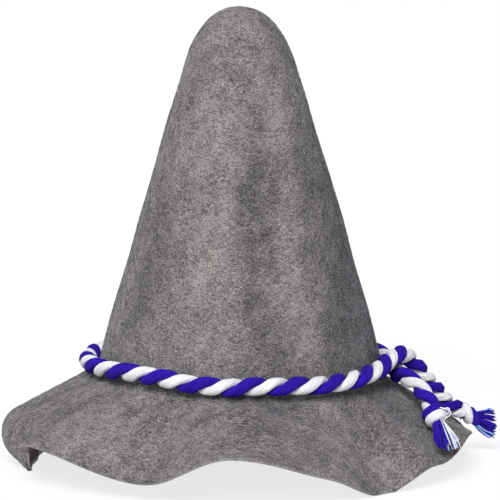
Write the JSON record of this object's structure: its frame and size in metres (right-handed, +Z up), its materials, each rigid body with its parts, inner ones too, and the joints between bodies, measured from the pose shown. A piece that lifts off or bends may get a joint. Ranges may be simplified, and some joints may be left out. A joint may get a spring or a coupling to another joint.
{
  "type": "alpine hat",
  "caption": "Tall pointed hat of grey felt with a wavy brim, worn on the head, with a thick blue and white twisted cord laid round the crown and knotted into short tassels.",
  "frame": {"origin": "middle of the felt's box, on the surface that the brim stands on", "axes": "+Z up along the crown, -Y the front, +X the side where the cord crosses itself and ends"},
  "size_m": [0.3373, 0.3309, 0.3098],
  "materials": {
    "grey_felt": "heather grey wool felt, matt",
    "cord_yarn": "twisted blue and white yarn",
    "white_yarn": "soft white yarn",
    "blue_yarn": "soft violet-blue yarn"
  },
  "bodies": {
    "root": {"felt_body": "grey_felt", "cord": "cord_yarn", "knot_near": "white_yarn", "knot_far": "white_yarn", "tassel_near": "blue_yarn", "tassel_far": "blue_yarn"}
  },
  "joints": []
}
